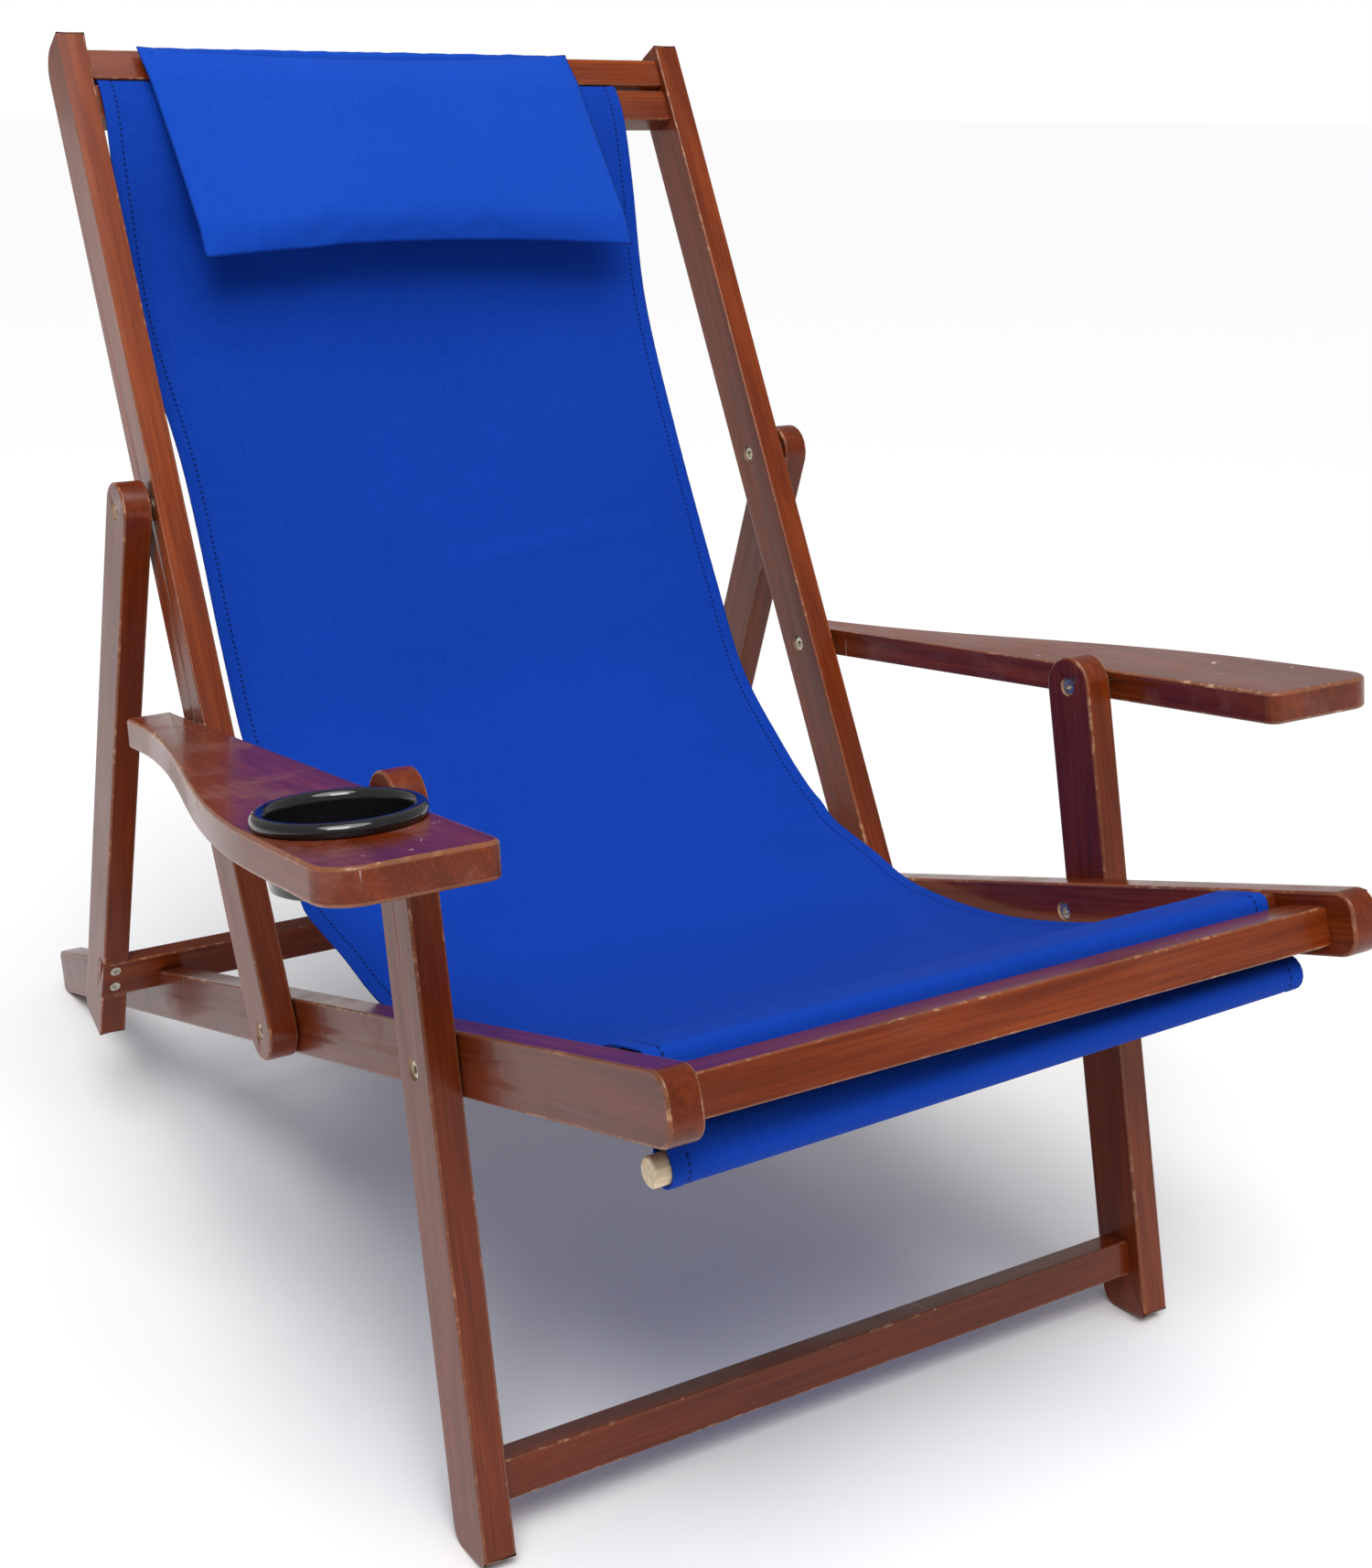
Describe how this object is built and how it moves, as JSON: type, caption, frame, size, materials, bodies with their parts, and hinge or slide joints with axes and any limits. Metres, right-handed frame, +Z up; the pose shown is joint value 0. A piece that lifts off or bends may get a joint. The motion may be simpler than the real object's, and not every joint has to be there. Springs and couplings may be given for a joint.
{
  "type": "beach chair",
  "caption": "Folding wooden beach chair: two rails on the floor, a reclining back, a fabric sling with a head pillow, armrests and a drop-in cup holder",
  "frame": {"origin": "centre of the footprint of the whole chair's box, on the floor", "axes": "+Z up, -Y the way the sitter faces, +X the sitter's left"},
  "size_m": [0.7852, 1.1844, 0.9258],
  "materials": {
    "stained_wood": "semi-gloss varnish over a reddish stain",
    "blue_canvas": "matte woven canvas",
    "pillow_canvas": "matte woven canvas",
    "bare_dowel": "bare sanded wood",
    "black_plastic": "gloss",
    "zinc_steel": "zinc plated, satin"
  },
  "bodies": {
    "seat_frame": {"front_dowel": "bare_dowel", "front_rail": "stained_wood", "leg_pivot_bolt_left": "zinc_steel", "leg_pivot_bolt_right": "zinc_steel", "leg_pivot_nut_left": "zinc_steel", "leg_pivot_nut_right": "zinc_steel", "leg_pivot_washer_left": "zinc_steel", "leg_pivot_washer_right": "zinc_steel", "rail_pivot_bolt_left": "zinc_steel", "rail_pivot_bolt_right": "zinc_steel", "rail_pivot_nut_left": "zinc_steel", "rail_pivot_nut_right": "zinc_steel", "rail_pivot_washer_left": "zinc_steel", "rail_pivot_washer_right": "zinc_steel", "seat_rail_left": "stained_wood", "seat_rail_right": "stained_wood", "seat_sling": "blue_canvas", "sling_rail": "stained_wood"},
    "back_frame": {"arm_rear_bolt_left": "zinc_steel", "arm_rear_bolt_right": "zinc_steel", "arm_rear_washer_left": "zinc_steel", "arm_rear_washer_right": "zinc_steel", "back_sling": "blue_canvas", "head_dowel": "bare_dowel", "lower_head_rail": "stained_wood", "pillow_flap": "pillow_canvas", "prop_pivot_bolt_left": "zinc_steel", "prop_pivot_bolt_right": "zinc_steel", "prop_pivot_nut_left": "zinc_steel", "prop_pivot_nut_right": "zinc_steel", "prop_pivot_washer_left": "zinc_steel", "prop_pivot_washer_right": "zinc_steel", "upper_head_rail": "stained_wood", "upright_left": "stained_wood", "upright_right": "stained_wood"},
    "leg_frame": {"arm_front_bolt_left": "zinc_steel", "arm_front_bolt_right": "zinc_steel", "arm_front_washer_left": "zinc_steel", "arm_front_washer_right": "zinc_steel", "leg_left": "stained_wood", "leg_right": "stained_wood", "stretcher": "stained_wood"},
    "prop_frame": {"bar_screw_lower_left": "zinc_steel", "bar_screw_lower_right": "zinc_steel", "bar_screw_upper_left": "zinc_steel", "bar_screw_upper_right": "zinc_steel", "prop_bar": "stained_wood", "prop_leg_left": "stained_wood", "prop_leg_right": "stained_wood"},
    "armrest_left_body": {"arm_front_insert_left": "zinc_steel", "arm_rear_insert_left": "zinc_steel", "armrest_left": "stained_wood"},
    "armrest_right_body": {"arm_front_insert_right": "zinc_steel", "arm_rear_insert_right": "zinc_steel", "armrest_right": "stained_wood", "cup_holder": "black_plastic"},
    "pillow_body": {"pillow": "pillow_canvas"}
  },
  "joints": [
    {"name": "back_recline", "type": "hinge", "parent": "seat_frame", "child": "back_frame", "pos_m": [0, -0.05533, 0.21965], "axis": [-1, 0, 0], "range_deg": [0, 71]},
    {"name": "leg_fold", "type": "hinge", "parent": "seat_frame", "child": "leg_frame", "pos_m": [0, -0.32824, 0.30518], "axis": [-1, 0, 0], "range_deg": [0, 86.2]},
    {"name": "prop_swing", "type": "hinge", "parent": "back_frame", "child": "prop_frame", "pos_m": [0, 0.14059, 0.57411], "axis": [-1, 0, 0], "range_deg": [-132.9, 0]},
    {"name": "armrest_left_fold", "type": "hinge", "parent": "back_frame", "child": "armrest_left_body", "pos_m": [0, 0.05448, 0.41832], "axis": [-1, 0, 0], "range_deg": [-61.6, 0]},
    {"name": "armrest_right_fold", "type": "hinge", "parent": "back_frame", "child": "armrest_right_body", "pos_m": [0, 0.05448, 0.41832], "axis": [-1, 0, 0], "range_deg": [-61.6, 0]},
    {"name": "pillow_flip", "type": "hinge", "parent": "back_frame", "child": "pillow_body", "pos_m": [0, 0.30467, 0.91646], "axis": [-1, 0, 0], "range_deg": [0, 110]}
  ],
  "couplings": [
    {"joint": "leg_fold", "follows": "back_recline", "ratio": 1.2125},
    {"joint": "prop_swing", "follows": "back_recline", "ratio": -1.87},
    {"joint": "armrest_left_fold", "follows": "back_recline", "ratio": -0.8658},
    {"joint": "armrest_right_fold", "follows": "back_recline", "ratio": -0.8658}
  ]
}
